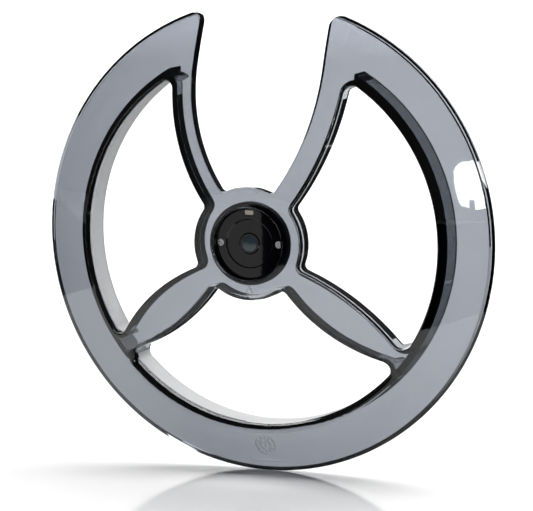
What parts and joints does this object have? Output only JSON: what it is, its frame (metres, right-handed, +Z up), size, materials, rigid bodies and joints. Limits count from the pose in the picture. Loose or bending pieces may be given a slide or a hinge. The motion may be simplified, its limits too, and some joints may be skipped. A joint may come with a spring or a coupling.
{
  "type": "chainwheel guard disc",
  "caption": "Domed clear smoke-grey guard disc for a bicycle chainwheel, with open windows, a crank gap, a rear collar and a capped hub screw.",
  "frame": {"origin": "on the crank axis, at the hub screw's shoulder, where the disc meets the crank", "axes": "+X to the right seen from the outside of the bicycle, +Y back along the crank axis towards the bicycle, +Z up through the crank gap"},
  "size_m": [0.1996, 0.0315, 0.1937],
  "materials": {
    "smoke_clear": "polished clear smoke-grey polycarbonate",
    "gloss_black": "polished",
    "black_rubber": "moulded",
    "steel": "zinc plated",
    "teal_plastic": "polished",
    "pale_plastic": "satin"
  },
  "bodies": {
    "disc": {"guard_disc": "smoke_clear", "lock_washer": "steel", "crank_washer": "black_rubber"},
    "hub_screw": {"hub_screw": "steel"},
    "cap": {"hub_cap": "gloss_black", "cap_bezel": "gloss_black", "cap_screws": "steel", "cap_seal": "black_rubber", "index_tab": "pale_plastic"},
    "plug": {"centre_plug": "teal_plastic"}
  },
  "joints": [
    {"name": "hub_screw_turn", "type": "hinge", "parent": "disc", "child": "hub_screw", "pos_m": [0, 0, 0], "axis": [0, 1, 0], "continuous": true},
    {"name": "cap_lift", "type": "slide", "parent": "hub_screw", "child": "cap", "axis": [0, -1, 0], "range_m": [0, 0.02]},
    {"name": "plug_pull", "type": "slide", "parent": "cap", "child": "plug", "axis": [0, -1, 0], "range_m": [0, 0.012]}
  ]
}
